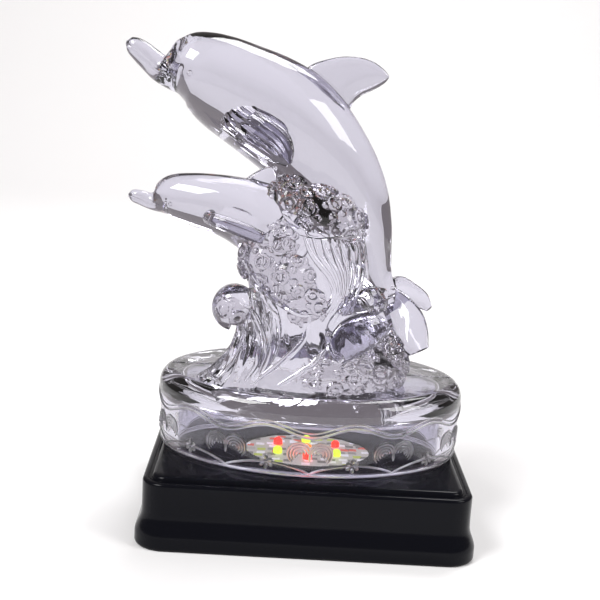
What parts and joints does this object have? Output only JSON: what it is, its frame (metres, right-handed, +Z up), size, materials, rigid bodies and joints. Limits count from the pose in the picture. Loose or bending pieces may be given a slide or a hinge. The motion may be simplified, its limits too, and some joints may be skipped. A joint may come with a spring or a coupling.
{
  "type": "lighted dolphin statue",
  "caption": "Table ornament: clear cast dolphins leaping over breaking waves on an oval plinth, standing on a black lamp base that lights it from below.",
  "frame": {"origin": "centre of the flat underside of the black base, on the surface that the ornament stands on", "axes": "+Z up, -Y towards the front that the picture shows, +X to the viewer's right, so both dolphins look towards -X"},
  "size_m": [0.14, 0.109, 0.1837],
  "materials": {
    "clear_acrylic": "polished clear casting",
    "black_abs": "glossy moulded",
    "black_cover": "matt moulded",
    "pale_board": "satin lacquer",
    "red_lamp": "lit lens",
    "green_lamp": "lit lens",
    "amber_lamp": "lit lens"
  },
  "bodies": {
    "root": {"crystal_dolphins": "clear_acrylic", "black_base": "black_abs", "base_cover": "black_cover", "lamp_board": "pale_board", "red_lamp_1": "red_lamp", "red_lamp_2": "red_lamp", "red_lamp_3": "red_lamp", "green_lamp_1": "green_lamp", "green_lamp_2": "green_lamp", "green_lamp_3": "green_lamp", "amber_lamp": "amber_lamp"}
  },
  "joints": []
}
